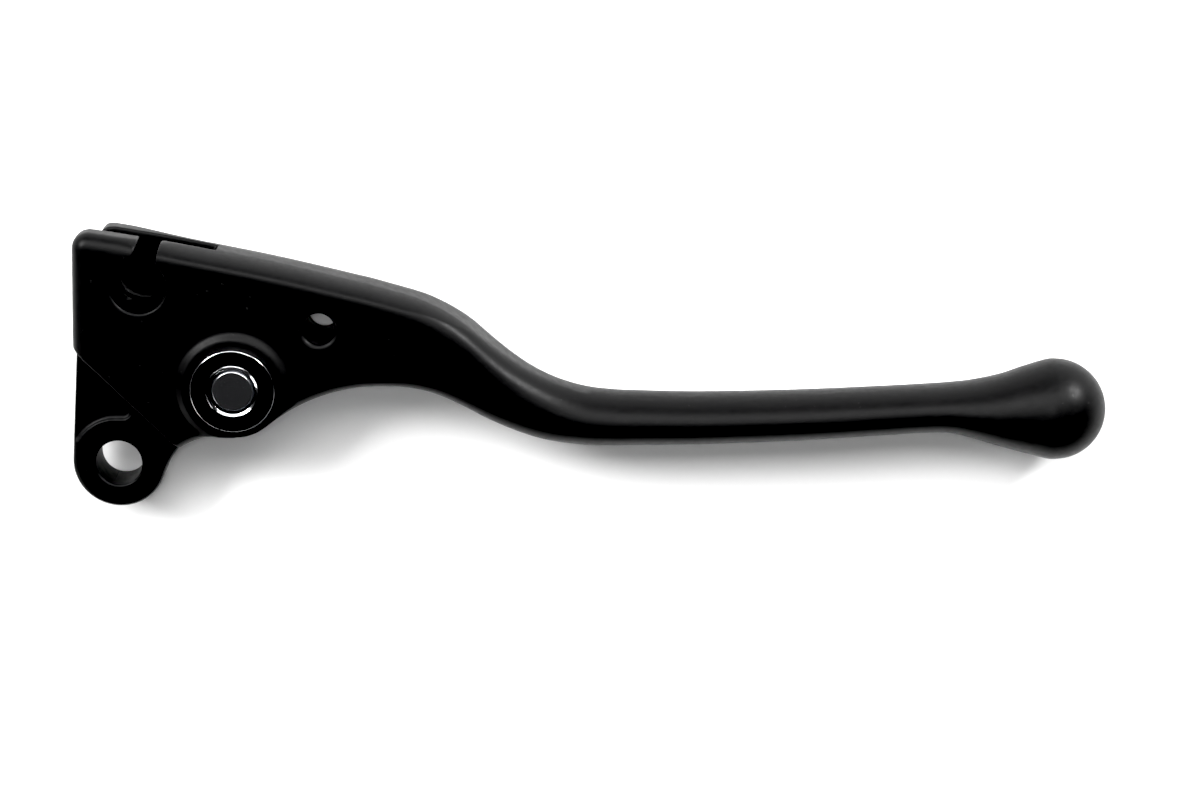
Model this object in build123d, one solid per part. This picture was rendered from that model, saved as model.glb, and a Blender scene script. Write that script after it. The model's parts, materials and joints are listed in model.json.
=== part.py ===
from build123d import *
import math
import os

# Right-hand cable lever, in millimetres.
# Frame: origin at the centre of the pivot bore, half way through the thickness.
# +X runs along the blade to the ball, +Y towards the cable side, +Z out of the
# flat near face along the pivot axis.

# ---- driving dimensions -------------------------------------------------------
HEAD_THICKNESS = 13.5
EDGE_RADIUS = 2.5
TOP_CORNER_RADIUS = 2.8
TAB_THICKNESS = 8.0
TAB_RADIUS = 8.0
TAB_EDGE_RADIUS = 1.0
PIVOT_BORE_D = 8.0
PIVOT_RING_R = 8.0
WEB_RECESS = 0.5
WEB_RIGHT = 2.6
WEB_CORNER_RADIUS = 1.5

NIPPLE_CENTRE = (5.0, 32.2)
NIPPLE_BORE_D = 9.5
NIPPLE_DEPTH = 10.6
ENTRY_WIDTH = 3.7
ENTRY_LEAN = 15.0
SLOT_WIDTH = 3.4
SLOT_CUTTER_CENTRE = (1.5, 46.0)
SLOT_CUTTER_R = 18.6
FAR_CHEEK_LEFT = -2.4

LINK_HOLE_CENTRE = (35.4, 24.7)
LINK_HOLE_D = 5.4

BOSS_CENTRE = (20.6, 14.2)
BOSS_FACE_RADIUS = 8.75
BOSS_SKIRT_RADIUS = 9.85
BOSS_RAISE = 0.7
BOSS_EDGE_RADIUS = 0.2
BOSS_FOOT_RADIUS = 9.1
BOSS_INSET = 0.5
BOSS_BORE_D = 12.0

FLANGE_D = 14.4
FLANGE_THICKNESS = 0.9
FLANGE_EDGE_RADIUS = 0.35
BUSH_SHANK_LENGTH = 6.0
BUSH_CHAMFER = 0.4
RUNNING_CLEARANCE = 0.04
COUNTERSINK_D = 9.5

PIN_D = 8.0
PIN_RECESS = 0.15
PIN_END_RADIUS = 0.7
PIN_COLLAR_D = 10.6
PIN_COLLAR_LENGTH = 2.6

JOIN_X = 42.0
OVAL_X = 84.0
NECK_X = 142.0
ARCH_CENTRE = (45.6, -15.8)
ARCH_R = 29.9

BALL_CENTRE = (162.0, 8.66)
BALL_R = 8.75

HALF = HEAD_THICKNESS / 2
BOSS_FACE = HALF + BOSS_RAISE
PIN_HALF_LENGTH = BOSS_FACE + FLANGE_THICKNESS - PIN_RECESS
QUARTER_ARC = 4 * (math.sqrt(2) - 1) / 3
STEP_LEFT = (-6.55, 20.9)
STEP_RIGHT = (10.9, 3.05)

# Grip sections: x, centre y, half width in y, half thickness in z, corner radius in y, in z.
# The corners grow from the plate's rim rounding until the section is a full oval.
GRIP_SECTIONS = [
    (38.0, 23.11, 9.84, 6.75, 2.5, 2.5),
    (42.0, 22.89, 9.01, 6.75, 2.5, 2.5),
    (48.5, 22.05, 8.10, 6.75, 2.7, 2.7),
    (54.0, 20.60, 7.68, 6.73, 3.1, 3.1),
    (59.0, 18.06, 7.44, 6.69, 3.6, 3.6),
    (63.5, 14.96, 6.93, 6.63, 4.1, 4.2),
    (68.0, 11.96, 6.22, 6.56, 4.6, 4.9),
    (73.0, 9.46, 5.60, 6.50, 4.8, 5.5),
    (78.5, 7.86, 5.10, 6.45, 4.9, 6.1),
    (84.0, 7.20, 4.80, 6.41, 4.8, 6.4),
    (92.0, 7.03, 4.57, 6.36, 4.5, 6.3),
    (101.0, 7.03, 4.42, 6.32, 4.4, 6.3),
    (118.0, 7.55, 4.25, 6.25, 4.2, 6.2),
    (133.0, 8.38, 4.09, 6.18, 4.0, 6.1),
    (140.0, 8.80, 4.06, 6.20, 4.0, 6.2),
    (144.0, 8.88, 4.28, 6.34, 4.2, 6.3),
    (147.5, 8.66, 4.90, 6.68, 4.9, 6.6),
    (152.8, 8.43, 6.30, 7.36, 6.3, 7.3),
    (157.2, 8.60, 7.67, 8.15, 7.6, 8.1),
    (162.0, 8.66, 8.75, 8.75, 8.7, 8.7),
    (167.0, 8.66, 7.18, 7.18, 7.1, 7.1),
]


def on_circle(centre, radius, degrees):
    angle = math.radians(degrees)
    return (centre[0] + radius * math.cos(angle), centre[1] + radius * math.sin(angle))


def plate(outline, thickness):
    face = make_face(outline)
    return extrude(face, amount=thickness / 2, both=True)


def disc(centre, diameter, low, high):
    return Pos(centre[0], centre[1], (low + high) / 2) * Cylinder(diameter / 2, high - low)


def rim_edges(solid, thickness):
    top = solid.edges().filter_by_position(Axis.Z, thickness / 2 - 0.01, thickness / 2 + 0.01)
    bottom = solid.edges().filter_by_position(Axis.Z, -thickness / 2 - 0.01, -thickness / 2 + 0.01)
    return top + bottom


def below_step():
    """Everything on the ear side of the diagonal step line."""
    run_x = STEP_RIGHT[0] - STEP_LEFT[0]
    run_y = STEP_RIGHT[1] - STEP_LEFT[1]
    high_end = (STEP_LEFT[0] - run_x, STEP_LEFT[1] - run_y)
    low_end = (STEP_RIGHT[0] + run_x, STEP_RIGHT[1] + run_y)
    outline = Polyline(high_end, low_end, (-40, low_end[1]), high_end)
    return plate(outline, 2 * HEAD_THICKNESS)


# ---- the cast body ------------------------------------------------------------
def head_outline():
    """Cheek outline, run on past the step so that its rim rounding is cut off there."""
    top_left = (-6.0, 41.65)
    top_right = (JOIN_X + 6.0, 30.35)
    run_left = (-7.1, 12.0)
    run_right = (4.5, -1.5)
    boss_low = (BOSS_CENTRE[0], BOSS_CENTRE[1] - BOSS_FOOT_RADIUS)
    boss_mid = on_circle(BOSS_CENTRE, BOSS_FOOT_RADIUS, -70.0)
    boss_exit = on_circle(BOSS_CENTRE, BOSS_FOOT_RADIUS, -50.0)
    arch_mid = on_circle(ARCH_CENTRE, ARCH_R, 108.0)
    arch_end = on_circle(ARCH_CENTRE, ARCH_R, 85.4)
    return [
        Line(run_left, top_left),
        ThreePointArc(top_left, (17.4, 37.55), top_right),
        Line(top_right, arch_end),
        ThreePointArc(arch_end, arch_mid, boss_exit),
        ThreePointArc(boss_exit, boss_mid, boss_low),
        Line(boss_low, (16.5, boss_low[1])),
        ThreePointArc((16.5, boss_low[1]), (13.7, 4.5), STEP_RIGHT),
        Line(STEP_RIGHT, run_right),
        Line(run_right, (-4.0, 0.0)),
        Line((-4.0, 0.0), run_left),
    ]


def head_plate():
    """Flat cheek plate from the diagonal step to the start of the bend."""
    solid = plate(head_outline(), HEAD_THICKNESS)
    corner = solid.edges().filter_by(Axis.Z).sort_by_distance((-6.0, 41.65, 0))[0]
    solid = fillet(corner, TOP_CORNER_RADIUS)
    solid = fillet(rim_edges(solid, HEAD_THICKNESS), EDGE_RADIUS)
    beyond = Pos(JOIN_X + 10, 20, 0) * Box(20, 60, 20)
    return solid - beyond - below_step()


def pivot_tab():
    """Thin eared tab below the step; its rim stands proud of the web."""
    left_top = (-6.1, 24.0)
    left_foot = (-7.98, 0.6)
    right_foot = on_circle((0, 0), TAB_RADIUS, -18.0)
    neck = (10.2, 2.3)
    inner = (14.0, 7.0)
    outline = [
        Line(left_top, left_foot),
        ThreePointArc(left_foot, (0, -TAB_RADIUS), right_foot),
        ThreePointArc(right_foot, (8.75, 0.1), neck),
        Line(neck, inner),
        Line(inner, left_top),
    ]
    solid = plate(outline, TAB_THICKNESS)
    return fillet(rim_edges(solid, TAB_THICKNESS), TAB_EDGE_RADIUS)


def boss_pad(side):
    """Raised round pad on one face around the cross bore, trimmed to the outline."""
    slope = BOSS_SKIRT_RADIUS - BOSS_FACE_RADIUS
    height = BOSS_FACE - HALF
    cone = Cone(BOSS_SKIRT_RADIUS + slope, BOSS_FACE_RADIUS, 2 * height)
    pad = Pos(BOSS_CENTRE[0], BOSS_CENTRE[1], BOSS_FACE - height) * cone
    pad = fillet(pad.edges().sort_by(Axis.Z)[-1], BOSS_EDGE_RADIUS)
    pad = pad + disc(BOSS_CENTRE, 2 * BOSS_FACE_RADIUS, 0, HALF)
    trim = offset(make_face(head_outline()), amount=-BOSS_INSET)
    pad = pad & extrude(trim, amount=BOSS_FACE, both=True)
    if side < 0:
        pad = mirror(pad, Plane.XY)
    return pad


def rounded_section(x, upper, lower, half_thick, corner_y, corner_z):
    """Rectangle with elliptic corners in the plane across the blade at x."""
    centre = (upper + lower) / 2
    half = (upper - lower) / 2
    edges = []
    corners = [(1, 1), (-1, 1), (-1, -1), (1, -1)]
    starts = []
    ends = []
    for sign_y, sign_z in corners:
        far_y = centre + sign_y * half
        far_z = sign_z * half_thick
        in_y = far_y - sign_y * corner_y
        in_z = far_z - sign_z * corner_z
        side = (x, far_y, in_z)
        side_pull = (x, far_y, in_z + sign_z * corner_z * QUARTER_ARC)
        cap_pull = (x, in_y + sign_y * corner_y * QUARTER_ARC, far_z)
        cap = (x, in_y, far_z)
        points = [side, side_pull, cap_pull, cap]
        if sign_y != sign_z:
            points.reverse()
        edges.append(Bezier(*points))
        starts.append(points[0])
        ends.append(points[-1])
    for index in range(4):
        edges.append(Line(ends[index], starts[(index + 1) % 4]))
    ring = []
    for index in range(4):
        ring.append(edges[index])
        ring.append(edges[index + 4])
    return make_face(Wire(ring))


def oval_section(x, centre, half_width, half_thick):
    """Ellipse of four quarter arcs in the plane across the blade at x."""
    plane = Plane(origin=(x, centre, 0), x_dir=(0, 1, 0), z_dir=(1, 0, 0))
    edges = []
    for start in (0, 90, 180, 270):
        if math.isclose(half_width, half_thick):
            arc = CenterArc((0, 0), half_width, start, 90)
        else:
            arc = EllipticalCenterArc((0, 0), half_width, half_thick, start_angle=start, arc_size=90)
        edges.append(plane * arc)
    return make_face(Wire(edges))


def table_slope(index, column):
    low = GRIP_SECTIONS[max(index - 1, 0)]
    high = GRIP_SECTIONS[min(index + 1, len(GRIP_SECTIONS) - 1)]
    return (high[column] - low[column]) / (high[0] - low[0])


def grip_value(x, column):
    """Smooth cubic reading of one column of the section table."""
    index = 0
    while GRIP_SECTIONS[index + 1][0] < x:
        index += 1
    low = GRIP_SECTIONS[index]
    high = GRIP_SECTIONS[index + 1]
    gap = high[0] - low[0]
    t = (x - low[0]) / gap
    rise = t * t * (3 - 2 * t)
    start_pull = gap * table_slope(index, column) * t * (1 - t) ** 2
    end_pull = gap * table_slope(index + 1, column) * t * t * (t - 1)
    return low[column] + rise * (high[column] - low[column]) + start_pull + end_pull


def spaced(start, end, step):
    count = round((end - start) / step)
    return [start + (end - start) * index / count for index in range(count + 1)]


def bend(start_face):
    """S-shaped run that starts on the head plate's own end face."""
    sections = [start_face]
    for x in spaced(JOIN_X, OVAL_X, 3.5)[1:]:
        centre, half, half_thick, corner_y, corner_z = [grip_value(x, n) for n in range(1, 6)]
        corner_y = min(corner_y, half - 0.04)
        corner_z = min(corner_z, half_thick - 0.04)
        upper = centre + half
        lower = centre - half
        sections.append(rounded_section(x, upper, lower, half_thick, corner_y, corner_z))
    return loft(sections)


def blade(start_face):
    """Oval grip that starts on the bend's own end face and swells into the ball."""
    sections = [start_face]
    stations = spaced(OVAL_X, NECK_X, 4.0) + spaced(NECK_X, BALL_CENTRE[0], 1.0)[1:]
    for x in stations[1:]:
        sections.append(oval_section(x, *[grip_value(x, n) for n in range(1, 4)]))
    return loft(sections)


def ball():
    cut = Pos(BALL_CENTRE[0] - BALL_R, BALL_CENTRE[1], 0) * Box(2 * BALL_R, 30, 30)
    return Pos(BALL_CENTRE[0], BALL_CENTRE[1], 0) * Sphere(BALL_R) - cut


def web_pocket(side):
    """Shallow step down on one face of the ear, between the bore ring and the diagonal."""
    corner = (WEB_RIGHT, 4.0)
    along = (WEB_RIGHT - STEP_LEFT[0]) / (STEP_RIGHT[0] - STEP_LEFT[0])
    top = (WEB_RIGHT, STEP_LEFT[1] + along * (STEP_RIGHT[1] - STEP_LEFT[1]))
    back = (2 * STEP_LEFT[0] - STEP_RIGHT[0], 2 * STEP_LEFT[1] - STEP_RIGHT[1])
    outline = Polyline((back[0], corner[1]), corner, top, back, (back[0], corner[1]))
    low = TAB_THICKNESS / 2 - WEB_RECESS
    region = Pos(0, 0, low) * extrude(make_face(outline), amount=1.0)
    region = region - disc((0, 0), 2 * PIVOT_RING_R, low - 1, low + 2)
    bend_edge = region.edges().filter_by(Axis.Z).sort_by_distance((WEB_RIGHT, 7.7, low))[0]
    region = fillet(bend_edge, WEB_CORNER_RADIUS)
    if side < 0:
        region = mirror(region, Plane.XY)
    return region


def cable_slot():
    return disc(SLOT_CUTTER_CENTRE, 2 * SLOT_CUTTER_R, -SLOT_WIDTH / 2, SLOT_WIDTH / 2)


def nipple_recess():
    return disc(NIPPLE_CENTRE, NIPPLE_BORE_D, HALF - NIPPLE_DEPTH, HALF + 2)


def entry_cut():
    """Leaning channel through the near cheek, from the recess out to the top edge."""
    length = 16.0
    bar = Pos(0, length / 2, HALF / 2 + 0.5) * Box(ENTRY_WIDTH, length, HALF + 1)
    leaned = Rot(0, 0, -ENTRY_LEAN) * bar
    return Pos(NIPPLE_CENTRE[0], NIPPLE_CENTRE[1], 0) * leaned


def far_cheek_trim():
    """Shortens the far cheek on the open side of the slot, and rounds its corner."""
    floor = -SLOT_WIDTH / 2
    edge = FAR_CHEEK_LEFT
    outline = [
        Line((edge, 30.0), (edge, 38.6)),
        ThreePointArc((edge, 38.6), (edge + 0.55, 40.0), (edge + 2.4, 40.55)),
        Line((edge + 2.4, 40.55), (edge + 4.0, 44.0)),
        Line((edge + 4.0, 44.0), (-12.0, 44.0)),
        Line((-12.0, 44.0), (-12.0, 30.0)),
        Line((-12.0, 30.0), (edge, 30.0)),
    ]
    region = extrude(make_face(outline), amount=-HALF)
    return Pos(0, 0, floor) * region


def lever_casting():
    head = head_plate()
    curve = bend(head.faces().sort_by(Axis.X)[-1])
    grip = blade(curve.faces().sort_by(Axis.X)[-1])
    body = head + pivot_tab() + curve + grip + ball()
    for side in (1, -1):
        body = body + boss_pad(side)
        body = body - web_pocket(side)
    body = body - disc((0, 0), PIVOT_BORE_D, -HALF, HALF)
    body = body - disc(BOSS_CENTRE, BOSS_BORE_D, -12, 12)
    body = body - disc(LINK_HOLE_CENTRE, LINK_HOLE_D, -12, 12)
    body = body - cable_slot() - nipple_recess() - entry_cut() - far_cheek_trim()
    return body


# ---- bushes and pin -----------------------------------------------------------
def flange_bush(side):
    """Headed steel bush pressed in from one face."""
    inner_end = BOSS_FACE - BUSH_SHANK_LENGTH
    shank = disc(BOSS_CENTRE, BOSS_BORE_D, inner_end, BOSS_FACE)
    shank = chamfer(shank.edges().sort_by(Axis.Z)[0], BUSH_CHAMFER)
    head = disc(BOSS_CENTRE, FLANGE_D, BOSS_FACE, BOSS_FACE + FLANGE_THICKNESS)
    head = fillet(head.edges().sort_by(Axis.Z)[-1], FLANGE_EDGE_RADIUS)
    bore_d = PIN_D + 2 * RUNNING_CLEARANCE
    sink_depth = (COUNTERSINK_D - bore_d) / 2
    mouth = BOSS_FACE + FLANGE_THICKNESS
    sink = Cone(bore_d / 2, COUNTERSINK_D / 2, sink_depth)
    sink = Pos(BOSS_CENTRE[0], BOSS_CENTRE[1], mouth - sink_depth / 2) * sink
    bush = shank + head - disc(BOSS_CENTRE, bore_d, inner_end - 1, mouth + 1) - sink
    if side < 0:
        bush = mirror(bush, Plane.XY)
    return bush


def anchor_pin():
    """Plain pin with a middle collar that the two bushes keep in place."""
    pin = disc(BOSS_CENTRE, PIN_D, -PIN_HALF_LENGTH, PIN_HALF_LENGTH)
    ends = pin.edges().filter_by(GeomType.CIRCLE)
    pin = fillet(ends, PIN_END_RADIUS)
    collar = disc(BOSS_CENTRE, PIN_COLLAR_D, -PIN_COLLAR_LENGTH / 2, PIN_COLLAR_LENGTH / 2)
    return pin + collar


def main():
    os.makedirs("parts", exist_ok=True)
    nodes = {
        "lever_casting": lever_casting(),
        "near_flange_bush": flange_bush(1),
        "far_flange_bush": flange_bush(-1),
        "anchor_pin": anchor_pin(),
    }
    for name, shape in nodes.items():
        export_step(shape, f"parts/{name}.step")


main()
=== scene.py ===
import json
import math

import bmesh
import bpy
import numpy as np
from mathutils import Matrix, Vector

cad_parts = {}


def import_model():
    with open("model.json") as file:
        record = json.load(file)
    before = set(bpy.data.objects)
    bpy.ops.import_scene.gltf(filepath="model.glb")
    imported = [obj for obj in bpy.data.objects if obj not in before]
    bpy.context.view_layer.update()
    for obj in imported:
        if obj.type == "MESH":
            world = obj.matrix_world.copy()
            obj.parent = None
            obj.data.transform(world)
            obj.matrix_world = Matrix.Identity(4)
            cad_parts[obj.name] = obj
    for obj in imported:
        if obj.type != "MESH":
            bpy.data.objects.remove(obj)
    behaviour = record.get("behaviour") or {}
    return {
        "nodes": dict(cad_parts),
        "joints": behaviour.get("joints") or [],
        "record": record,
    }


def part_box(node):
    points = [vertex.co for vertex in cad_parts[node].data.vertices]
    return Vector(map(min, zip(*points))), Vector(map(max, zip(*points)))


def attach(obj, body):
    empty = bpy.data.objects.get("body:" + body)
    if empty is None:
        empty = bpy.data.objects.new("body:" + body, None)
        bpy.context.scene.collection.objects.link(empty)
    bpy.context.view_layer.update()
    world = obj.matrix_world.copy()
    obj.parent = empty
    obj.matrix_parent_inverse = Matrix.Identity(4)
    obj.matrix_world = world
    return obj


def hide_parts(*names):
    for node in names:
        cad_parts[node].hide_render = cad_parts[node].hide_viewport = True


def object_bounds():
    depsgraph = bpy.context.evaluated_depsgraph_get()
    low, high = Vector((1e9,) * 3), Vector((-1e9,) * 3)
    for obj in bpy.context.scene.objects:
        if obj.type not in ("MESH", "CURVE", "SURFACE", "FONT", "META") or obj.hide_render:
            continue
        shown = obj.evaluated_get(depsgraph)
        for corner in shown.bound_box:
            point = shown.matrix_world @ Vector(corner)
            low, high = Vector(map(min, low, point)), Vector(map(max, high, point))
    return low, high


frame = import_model()
cad_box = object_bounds()

# ---- places worked out from the frame, in metres ----------------------------------
MM = 0.001
NODES = frame["nodes"]
MOUNTS = {mount["name"]: mount for mount in frame["record"]["mounts"]}
PIN_AXIS = Vector(frame["joints"][0]["pos_m"])
FLOOR_Z = cad_box[0][2]

# ---- the casting's skin: sampling ---------------------------------------------------
VOXEL = 0.2 * MM
CUTS = 3  # small triangles along the edge of each CAD triangle
MERGE = 0.001 * MM  # corners nearer than this are one point
SHARP_COSINE = math.cos(math.radians(28.0))  # faces that meet more sharply keep their edge
RISE_LIMIT = 0.045 * MM  # the most a small corner leaves its flat triangle by
SKIN_FACES = 170000
TINY = 1e-18  # keeps a division away from zero

# ---- the casting's skin: form -------------------------------------------------------
HALF_THICKNESS = 6.75 * MM
EDGE_RADIUS = 2.5 * MM
EDGE_ROUNDS = 4
CROWN_DEPTH = 6.6 * MM  # how far in from each face the full crown reaches
CROWN_START = -6 * MM
CROWN_FULL = 16 * MM
CROWN_END = 82 * MM
CROWN_BAND = (2.0 * MM, 3.6 * MM)  # heights at which the top of the outline is read
STATION_STEP = MM
STATION_REACH = 0.35 * MM
BORE_REACH = 0.12 * MM
BORE_LIPS = (  # mount, height of the face, rounding of the mouth
    ("pivot_bore", 4.0 * MM, 0.3 * MM),
    ("cable_nipple_seat", HALF_THICKNESS, 0.35 * MM),
    ("link_hole", HALF_THICKNESS, 0.8 * MM),
)
LIP_CORE = 0.3  # share of the rounding, about its centre, where nothing is moved
SEAMS = (42 * MM, 84 * MM, 162 * MM)  # where the plate, the bend, the blade and the ball meet
SEAM_REACH = 5 * MM
SEAM_ROUNDS = 80
RELAX_PULL = 0.5
RELAX_PUSH = 0.53

# ---- the turned pieces: corners as (radius, height, rounding) in millimetres --------
TURNS = 192
ARC_STEPS = 6
SUPPORT = 0.03 * MM  # a point this far past each rounding keeps the flats flat
WELD = 0.0001 * MM
BUSH_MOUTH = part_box("near_flange_bush")[1].z
BUSH_CORNERS = (
    (4.04, -0.18, 0.04),
    (4.40, 0.03, 0.05),
    (4.52, -0.02, 0.04),
    (7.20, 0.0, 0.15),
    (7.20, -0.90, 0.05),
    (6.00, -0.90, 0.05),
    (6.00, -6.50, 0.05),
    (5.60, -6.90, 0.05),
    (4.04, -6.90, 0.05),
)
PIN_FACE = BUSH_MOUTH - 0.15 * MM
PIN_RADIUS = 4.0
PIN_CORNERS = (
    (0.0, 0.0, 0.0),
    (3.38, 0.0, 0.16),
    (3.85, -0.85, 0.3),
    (PIN_RADIUS, -1.30, 0.0),
)
COLLAR_RADIUS = 5.3
COLLAR_HALF = 1.3
COLLAR_CORNERS = (
    (PIN_RADIUS, COLLAR_HALF + 1.0, 0.0),
    (PIN_RADIUS, COLLAR_HALF, 0.05),
    (COLLAR_RADIUS, COLLAR_HALF, 0.1),
    (COLLAR_RADIUS, 0.0, 0.0),
)

# ---- the materials: colours, and noise scales per metre -----------------------------
COAT_DARK = (0.0012, 0.0012, 0.0013)
COAT_LIGHT = (0.0024, 0.0024, 0.0025)
COAT_SCALE = 260.0
COAT_SPECULAR = 0.11
SPECK_COLOR = (0.012, 0.012, 0.012)
SPECK_SCALE = 800.0
SPECK_EDGE = (0.70, 0.76)
GLOSS_SCALE = 900.0
GLOSS_ROUGHNESS = (0.38, 0.46)
PEEL_SCALE = 1400.0
PEEL_STRENGTH = 0.25
PEEL_HEIGHT = 0.02 * MM
GRAIN_SCALE = 5200.0
GRAIN_STRENGTH = 0.2
GRAIN_HEIGHT = 0.01 * MM
BUSH_COLOR = (0.60, 0.61, 0.63)
BUSH_ROUGHNESS = (0.10, 0.16)
PIN_COLOR = (0.52, 0.53, 0.55)
PIN_ROUGHNESS = (0.16, 0.28)
RING_SCALE = 9000.0
RING_SHADE = 0.85
RING_STRENGTH = 0.1
RING_HEIGHT = 0.001 * MM
PAPER_DARK = (0.89, 0.89, 0.89)
PAPER_LIGHT = (0.91, 0.91, 0.91)
PAPER_SPECULAR = 0.1
FIBRE_SCALE = 900.0
FIBRE_ROUGHNESS = (0.86, 0.94)

# ---- the studio: soft boxes as (name, direction, size in metres, watts) -------------
LEVER_MIDDLE = Vector((0.08, 0.015, 0.0))
SOFTBOX_DISTANCE = 0.9
SOFTBOXES = (
    ("key_softbox", (0.0, 0.66, 0.75), (0.8, 0.52), 8.5),
    ("left_softbox", (-0.62, 0.50, 0.60), (0.35, 0.3), 11.0),
    ("right_softbox", (0.66, 0.66, 0.36), (0.2, 0.2), 15.0),
    ("low_left_softbox", (-0.76, -0.54, 0.34), (0.3, 0.25), 1.5),
    ("camera_softbox", (0.0, 0.26, 0.96), (0.12, 0.12), 1.7),
)
FLOOR_SIZE = 6.0
GLOW_STRENGTH = (0.04, 0.004)
GLOW_HEIGHT = (0.05, 0.5)  # the upward part of the direction, between the two strengths
CAMERA_TARGET = Vector((0.08324, 0.00993, 0.0))
CAMERA_DISTANCE = 0.51985
CAMERA_TILT = math.radians(-17.0)
CAMERA_LENS = 90.0
CAMERA_SENSOR = 36.0
CAMERA_NEAR = 0.01
BLACK = 0.012  # light below this is shown as black


# ---- node helpers ---------------------------------------------------------------------
def new_material(name):
    material = bpy.data.materials.new(name)
    material.use_nodes = True
    return material, material.node_tree.nodes, material.node_tree.links


def object_coords(nodes):
    return nodes.new("ShaderNodeTexCoord").outputs["Object"]


def noise(nodes, links, coords, scale, detail=2.0, roughness=0.5):
    node = nodes.new("ShaderNodeTexNoise")
    node.inputs["Scale"].default_value = scale
    node.inputs["Detail"].default_value = detail
    node.inputs["Roughness"].default_value = roughness
    links.new(coords, node.inputs["Vector"])
    return node.outputs["Fac"]


def remap(nodes, links, source, made, taken=(0.3, 0.7)):
    """The source's span `taken` spread over the span `made`."""
    node = nodes.new("ShaderNodeMapRange")
    node.inputs["From Min"].default_value = taken[0]
    node.inputs["From Max"].default_value = taken[1]
    node.inputs["To Min"].default_value = made[0]
    node.inputs["To Max"].default_value = made[1]
    links.new(source, node.inputs["Value"])
    return node.outputs["Result"]


def color_ramp(nodes, links, source, low, high):
    node = nodes.new("ShaderNodeValToRGB")
    node.color_ramp.elements[0].color = (*low, 1)
    node.color_ramp.elements[1].color = (*high, 1)
    links.new(source, node.inputs["Fac"])
    return node.outputs["Color"]


def color_mix(nodes, links, share, under, over):
    """A colour laid over another by a changing share."""
    node = nodes.new("ShaderNodeMix")
    node.data_type = "RGBA"
    share_socket, under_socket, over_socket = node.inputs[0], node.inputs[6], node.inputs[7]
    over_socket.default_value = (*over, 1)
    links.new(share, share_socket)
    links.new(under, under_socket)
    return node.outputs[2]


def vector_math(nodes, links, operation, source, value=None):
    node = nodes.new("ShaderNodeVectorMath")
    node.operation = operation
    if value is not None:
        node.inputs[1].default_value = value
    links.new(source, node.inputs[0])
    return node


def bump(nodes, links, height, strength, distance):
    node = nodes.new("ShaderNodeBump")
    node.inputs["Strength"].default_value = strength
    node.inputs["Distance"].default_value = distance
    links.new(height, node.inputs["Height"])
    return node


# ---- materials ------------------------------------------------------------------------
def coated_casting():
    """Satin black powder coat: orange peel, fine grain, pale specks, small changes of gloss."""
    material, nodes, links = new_material("coated_casting")
    shader = nodes["Principled BSDF"]
    shader.inputs["Specular IOR Level"].default_value = COAT_SPECULAR
    coords = object_coords(nodes)
    clouds = noise(nodes, links, coords, COAT_SCALE, detail=4.0)
    coat = color_ramp(nodes, links, clouds, COAT_DARK, COAT_LIGHT)
    dust = noise(nodes, links, coords, SPECK_SCALE, detail=3.0, roughness=0.6)
    specks = remap(nodes, links, dust, (0.0, 1.0), SPECK_EDGE)
    links.new(color_mix(nodes, links, specks, coat, SPECK_COLOR), shader.inputs["Base Color"])
    gloss = noise(nodes, links, coords, GLOSS_SCALE, detail=3.0)
    links.new(remap(nodes, links, gloss, GLOSS_ROUGHNESS), shader.inputs["Roughness"])
    peel = bump(nodes, links, noise(nodes, links, coords, PEEL_SCALE), PEEL_STRENGTH, PEEL_HEIGHT)
    grain = bump(nodes, links, noise(nodes, links, coords, GRAIN_SCALE), GRAIN_STRENGTH, GRAIN_HEIGHT)
    links.new(peel.outputs["Normal"], grain.inputs["Normal"])
    links.new(grain.outputs["Normal"], shader.inputs["Normal"])
    return material


def turned_steel(name, color, roughness):
    """Bright steel with fine rings turned about the pin's axis."""
    material, nodes, links = new_material(name)
    shader = nodes["Principled BSDF"]
    shader.inputs["Metallic"].default_value = 1.0
    place = vector_math(nodes, links, "SUBTRACT", object_coords(nodes), PIN_AXIS)
    flat = vector_math(nodes, links, "MULTIPLY", place.outputs["Vector"], (1.0, 1.0, 0.0))
    radius = vector_math(nodes, links, "LENGTH", flat.outputs["Vector"])
    along = nodes.new("ShaderNodeCombineXYZ")
    links.new(radius.outputs["Value"], along.inputs["X"])
    rings = noise(nodes, links, along.outputs["Vector"], RING_SCALE, detail=3.0)
    links.new(remap(nodes, links, rings, roughness), shader.inputs["Roughness"])
    dark = tuple(RING_SHADE * part for part in color)
    links.new(color_ramp(nodes, links, rings, dark, color), shader.inputs["Base Color"])
    grooves = bump(nodes, links, rings, RING_STRENGTH, RING_HEIGHT)
    links.new(grooves.outputs["Normal"], shader.inputs["Normal"])
    return material


def floor_paper():
    """White studio paper with a faint fibre."""
    material, nodes, links = new_material("floor_paper")
    shader = nodes["Principled BSDF"]
    shader.inputs["Specular IOR Level"].default_value = PAPER_SPECULAR
    fibre = noise(nodes, links, object_coords(nodes), FIBRE_SCALE, detail=3.0)
    links.new(color_ramp(nodes, links, fibre, PAPER_DARK, PAPER_LIGHT), shader.inputs["Base Color"])
    links.new(remap(nodes, links, fibre, FIBRE_ROUGHNESS), shader.inputs["Roughness"])
    return material


# ---- mesh helpers ---------------------------------------------------------------------
def coordinates(mesh):
    places = np.empty(3 * len(mesh.vertices))
    mesh.vertices.foreach_get("co", places)
    return places.reshape(-1, 3)


def move_to(mesh, places):
    mesh.vertices.foreach_set("co", places.ravel())
    mesh.update()


def triangle_corners(mesh):
    mesh.calc_loop_triangles()
    points = np.empty(3 * len(mesh.loop_triangles), np.int32)
    mesh.loop_triangles.foreach_get("vertices", points)
    return coordinates(mesh)[points].reshape(-1, 3, 3)


def smoothed(mesh):
    mesh.polygons.foreach_set("use_smooth", [True] * len(mesh.polygons))
    return mesh


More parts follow.
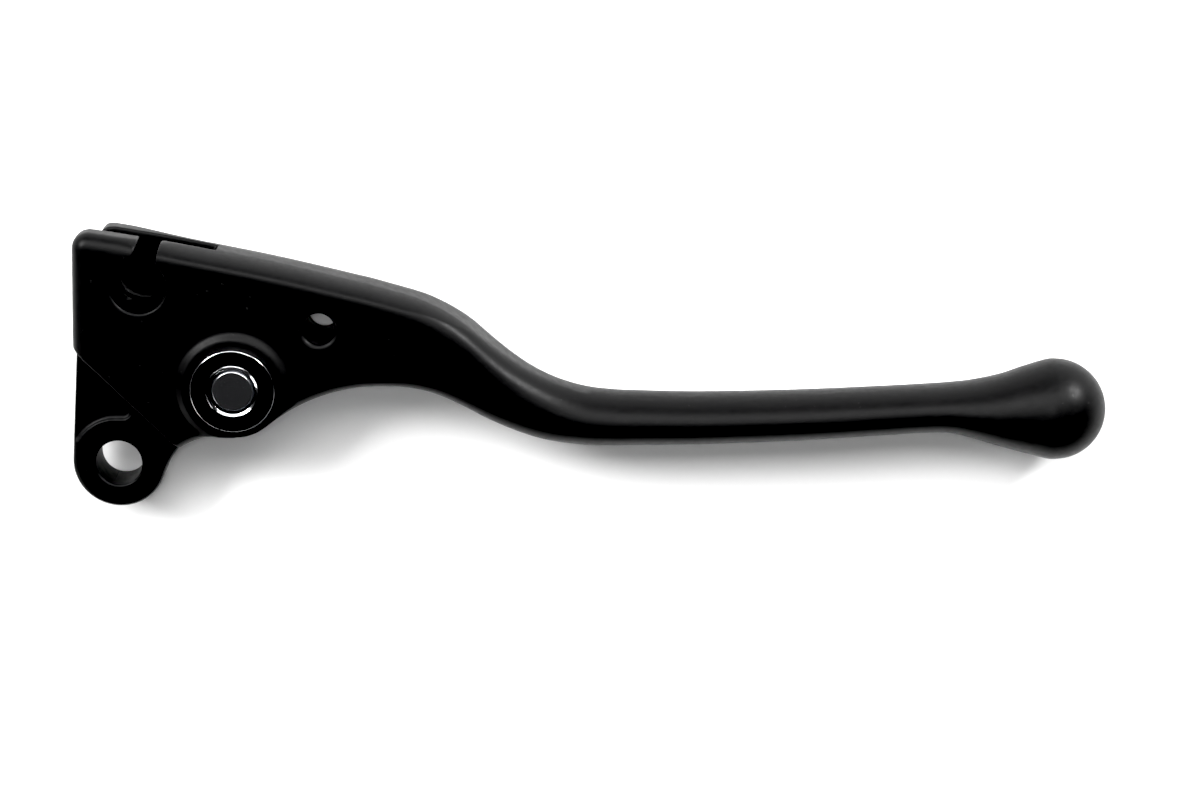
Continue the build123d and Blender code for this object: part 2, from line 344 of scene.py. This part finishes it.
def in_scene(name, data):
    obj = bpy.data.objects.new(name, data)
    bpy.context.scene.collection.objects.link(obj)
    return obj


def with_modifier(mesh, kind, **settings):
    """A new mesh: this one after a modifier."""
    obj = in_scene("worked", mesh)
    modifier = obj.modifiers.new("work", kind)
    for name, value in settings.items():
        setattr(modifier, name, value)
    graph = bpy.context.evaluated_depsgraph_get()
    result = bpy.data.meshes.new_from_object(obj.evaluated_get(graph))
    bpy.data.objects.remove(obj)
    return result


def voxelled(mesh):
    return with_modifier(mesh, "REMESH", mode="VOXEL", voxel_size=VOXEL, adaptivity=0.0)


# ---- the casting's skin -----------------------------------------------------------------
def corner_normals(corners):
    """Normals at triangle corners: the mean of the faces that meet there at a blunt angle, by area."""
    spans = np.cross(corners[:, 1] - corners[:, 0], corners[:, 2] - corners[:, 0])
    areas = np.linalg.norm(spans, axis=1)
    faces = spans / np.maximum(areas, TINY)[:, None]
    keys = np.round(corners.reshape(-1, 3) / MERGE).astype(np.int64)
    point = np.unique(keys, axis=0, return_inverse=True)[1].ravel()
    order = np.argsort(point, kind="stable")
    meeting = np.bincount(point)
    starts = np.cumsum(meeting) - meeting
    repeats = meeting[point]
    corner = np.repeat(np.arange(len(point)), repeats)
    offset = np.arange(len(corner)) - np.repeat(np.cumsum(repeats) - repeats, repeats)
    other = order[np.repeat(starts[point], repeats) + offset] // 3
    blunt = np.einsum("nx,nx->n", faces[corner // 3], faces[other]) > SHARP_COSINE
    weight = areas[other] * blunt
    totals = [np.bincount(corner, weight * faces[other, k]) for k in range(3)]
    normals = np.stack(totals, axis=1)
    normals /= np.maximum(np.linalg.norm(normals, axis=1), TINY)[:, None]
    return normals.reshape(-1, 3, 3)


def cut_points(places, normals, share):
    """One point of every triangle, by its share of the three corners, lifted onto the true curve."""
    flat = np.einsum("c,ncx->nx", share, places)
    height = np.einsum("ncx,ncx->nc", places - flat[:, None], normals)
    rise = 0.5 * np.einsum("c,nc,ncx->nx", share, height, normals)
    size = np.linalg.norm(rise, axis=1)[:, None]
    return flat + rise * np.minimum(1.0, RISE_LIMIT / np.maximum(size, TINY))


def filled_in(mesh):
    """The mesh with every triangle cut into small ones that follow the true curve."""
    places = triangle_corners(mesh)
    normals = corner_normals(places)
    grid = [(i, j) for i in range(CUTS + 1) for j in range(CUTS + 1 - i)]
    index = {cell: k for k, cell in enumerate(grid)}
    points = np.empty((len(places), len(grid), 3))
    for (i, j), k in index.items():
        points[:, k] = cut_points(places, normals, np.array([i, j, CUTS - i - j]) / CUTS)
    small = []
    for i in range(CUTS):
        for j in range(CUTS - i):
            small.append((index[i, j], index[i + 1, j], index[i, j + 1]))
            if i + j < CUTS - 1:
                small.append((index[i + 1, j], index[i + 1, j + 1], index[i, j + 1]))
    first = (np.arange(len(places)) * len(grid))[:, None, None]
    faces = (first + np.array(small)[None]).reshape(-1, 3)
    fine = bpy.data.meshes.new("casting_patches")
    fine.from_pydata(points.reshape(-1, 3).tolist(), [], faces.tolist())
    return fine


def smooth_step(values, start, end):
    t = np.clip((values - start) / (end - start), 0.0, 1.0)
    return t * t * (3 - 2 * t)


def crowned(mesh):
    """Rounds the cable-side edge over more and more of the thickness towards the bend."""
    places = coordinates(mesh)
    x, y, z = places.T
    flat_band = (abs(z) > CROWN_BAND[0]) & (abs(z) < CROWN_BAND[1])
    stations = np.arange(CROWN_START, CROWN_END, STATION_STEP)
    tops = [y[flat_band & (abs(x - at) < STATION_REACH)].max() for at in stations]
    growth = smooth_step(x, 0.0, CROWN_FULL)
    depth = EDGE_RADIUS + (CROWN_DEPTH - EDGE_RADIUS) * growth
    inner = abs(z) - (HALF_THICKNESS - depth)
    share = np.clip(inner / depth, 0.0, 1.0)
    limit = np.interp(x, stations, tops) - EDGE_RADIUS * (1 - np.sqrt(1 - share**2))
    high = (x > 0) & (x < CROWN_END) & (y > limit)
    places[high, 1] = limit[high]
    move_to(mesh, places)


def true_bores(mesh):
    """Puts the walls of the bores on exact circles and rounds their mouths."""
    places = coordinates(mesh)
    for name, face, lip in BORE_LIPS:
        centre = np.array(MOUNTS[name]["pos_m"][:2])
        radius = MOUNTS[name]["dims"]["r_mm"] * MM
        out = places[:, :2] - centre
        measured = np.linalg.norm(out, axis=1)
        distance = measured.copy()
        height = abs(places[:, 2])
        wall = abs(distance - radius) < BORE_REACH
        distance[wall] = radius
        inward = radius + lip - distance
        upward = height - (face - lip)
        length = np.hypot(inward, upward)
        mouth = (inward > 0) & (upward > 0) & (height < face + BORE_REACH)
        mouth &= (distance > radius - BORE_REACH) & (length > LIP_CORE * lip)
        scale = lip / np.maximum(length, TINY)
        distance[mouth] = (radius + lip - inward * scale)[mouth]
        height[mouth] = (face - lip + upward * scale)[mouth]
        turned = wall | mouth
        places[turned, :2] = centre + out[turned] * (distance / measured)[turned, None]
        places[turned, 2] = (np.sign(places[:, 2]) * height)[turned]
    move_to(mesh, places)


def relaxed(mesh, rounds, chosen, push=0.0):
    """Moves chosen vertices towards the mean of their neighbours; push moves every second round back."""
    places = coordinates(mesh)
    edges = np.empty(2 * len(mesh.edges), np.int32)
    mesh.edges.foreach_get("vertices", edges)
    edges = edges.reshape(-1, 2)
    edges = edges[chosen[edges].any(axis=1)]
    ends = np.concatenate([edges[:, 0], edges[:, 1]])
    others = np.concatenate([edges[:, 1], edges[:, 0]])
    inside = chosen[ends]
    ends, others = ends[inside], others[inside]
    ids, slots = np.unique(ends, return_inverse=True)
    neighbours = np.bincount(slots)[:, None]
    for step in range(rounds):
        pull = -push if push and step % 2 else RELAX_PULL
        total = np.stack([np.bincount(slots, places[others, k]) for k in range(3)], axis=1)
        places[ids] += pull * (total / neighbours - places[ids])
    move_to(mesh, places)


def casting_skin():
    """Coated surface of the casting: the CAD form with soft cast edges and a crowned top."""
    mesh = voxelled(filled_in(NODES["lever_casting"].data))
    crowned(mesh)
    mesh = voxelled(mesh)
    x = coordinates(mesh)[:, 0]
    for seam in SEAMS:
        relaxed(mesh, SEAM_ROUNDS, abs(x - seam) < SEAM_REACH, RELAX_PUSH)
    relaxed(mesh, EDGE_ROUNDS, np.ones(len(x), bool))
    true_bores(mesh)
    triangles = 2 * len(mesh.polygons)
    mesh = smoothed(with_modifier(mesh, "DECIMATE", ratio=SKIN_FACES / triangles))
    mesh.name = "casting_skin"
    mesh.materials.append(coated_casting())
    skin = in_scene("casting_skin", mesh)
    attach(skin, "lever")
    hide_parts("lever_casting")


# ---- turned pieces ----------------------------------------------------------------------
def swung(arm, angle):
    cosine = math.cos(angle)
    sine = math.sin(angle)
    return Vector((arm.x * cosine - arm.y * sine, arm.x * sine + arm.y * cosine))


def rounded(corners):
    """The outline through (radius, height, rounding) corners in millimetres, as points in metres."""
    outline = []
    for k, (radius, height, rounding) in enumerate(corners):
        here = Vector((radius, height))
        if rounding == 0.0:
            outline.append(here * MM)
            continue
        before = (Vector(corners[k - 1][:2]) - here).normalized()
        after = (Vector(corners[(k + 1) % len(corners)][:2]) - here).normalized()
        half = before.angle(after) / 2
        reach = rounding / math.tan(half)
        middle = here + (before + after).normalized() * (rounding / math.sin(half))
        start = here + before * reach
        end = here + after * reach
        turn = (start - middle).angle_signed(end - middle)
        outline.append(start * MM + before * SUPPORT)
        for step in range(ARC_STEPS + 1):
            outline.append((middle + swung(start - middle, -turn * step / ARC_STEPS)) * MM)
        outline.append(end * MM + after * SUPPORT)
    return outline


def turned(name, outline, level, side, closed):
    """A mesh turned about the pin's axis from an outline of (radius, height) points."""
    count = len(outline)
    points = []
    for k in range(TURNS):
        angle = 2 * math.pi * k / TURNS
        for radius, height in outline:
            place = (radius * math.cos(angle), radius * math.sin(angle), side * (level + height))
            points.append(Vector(place) + Vector((PIN_AXIS.x, PIN_AXIS.y, 0.0)))
    faces = []
    for k in range(TURNS):
        this = k * count
        other = (k + 1) % TURNS * count
        for j in range(count if closed else count - 1):
            n = (j + 1) % count
            faces.append((this + j, this + n, other + n, other + j)[::side])
    mesh = bpy.data.meshes.new(name)
    mesh.from_pydata(points, [], faces)
    build = bmesh.new()
    build.from_mesh(mesh)
    bmesh.ops.remove_doubles(build, verts=build.verts, dist=WELD)
    build.to_mesh(mesh)
    build.free()
    return smoothed(mesh)


def pin_outline():
    """The pin's outline from the middle of one face to the other, with the collar at mid height."""
    end = [point + Vector((0.0, PIN_FACE)) for point in rounded(PIN_CORNERS)]
    top = end + rounded(COLLAR_CORNERS)
    return top + [Vector((point.x, -point.y)) for point in reversed(top[:-1])]


def place_turned(mesh, body, node, material):
    obj = in_scene(mesh.name, mesh)
    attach(obj, body)
    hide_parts(node)
    mesh.materials.append(material)


def turned_pieces():
    bush = turned_steel("bush_steel", BUSH_COLOR, BUSH_ROUGHNESS)
    for end, side in (("near", 1), ("far", -1)):
        mesh = turned(f"{end}_bush_turned", rounded(BUSH_CORNERS), BUSH_MOUTH, side, True)
        place_turned(mesh, "lever", f"{end}_flange_bush", bush)
    pin = turned_steel("pin_steel", PIN_COLOR, PIN_ROUGHNESS)
    mesh = turned("pin_turned", pin_outline(), 0.0, 1, False)
    place_turned(mesh, "pin", "anchor_pin", pin)


# ---- surroundings -------------------------------------------------------------------------
def floor():
    bpy.ops.mesh.primitive_plane_add(size=FLOOR_SIZE, location=(LEVER_MIDDLE.x, 0.0, FLOOR_Z))
    obj = bpy.context.object
    obj.name = "floor"
    obj.data.materials.append(floor_paper())


def lights():
    for name, direction, size, watts in SOFTBOXES:
        light = bpy.data.lights.new(name, "AREA")
        light.shape = "RECTANGLE"
        light.size, light.size_y = size
        light.energy = watts
        box = in_scene(name, light)
        towards = Vector(direction).normalized()
        box.location = LEVER_MIDDLE + towards * SOFTBOX_DISTANCE
        box.rotation_euler = (-towards).to_track_quat("-Z", "Y").to_euler()


def world():
    """A weak white surround, weaker overhead."""
    surround = bpy.data.worlds.new("studio")
    bpy.context.scene.world = surround
    surround.use_nodes = True
    nodes, links = surround.node_tree.nodes, surround.node_tree.links
    split = nodes.new("ShaderNodeSeparateXYZ")
    links.new(nodes.new("ShaderNodeTexCoord").outputs["Generated"], split.inputs[0])
    glow = remap(nodes, links, split.outputs["Z"], GLOW_STRENGTH, GLOW_HEIGHT)
    links.new(glow, nodes["Background"].inputs["Strength"])
    nodes["Background"].inputs["Color"].default_value = (1, 1, 1, 1)


def camera():
    data = bpy.data.cameras.new("photo_camera")
    data.lens = CAMERA_LENS
    data.sensor_width = CAMERA_SENSOR
    data.clip_start = CAMERA_NEAR
    obj = in_scene("photo_camera", data)
    back = Vector((0.0, -math.sin(CAMERA_TILT), math.cos(CAMERA_TILT)))
    obj.location = CAMERA_TARGET + CAMERA_DISTANCE * back
    obj.rotation_euler = (CAMERA_TILT, 0.0, 0.0)
    bpy.context.scene.camera = obj


def tone():
    """Plain view transform with the darkest greys taken to black."""
    settings = bpy.context.scene.view_settings
    settings.view_transform = "Standard"
    settings.use_curve_mapping = True
    settings.curve_mapping.black_level = (BLACK, BLACK, BLACK)
    settings.curve_mapping.update()


def main():
    casting_skin()
    turned_pieces()
    floor()
    lights()
    world()
    camera()
    tone()


main()
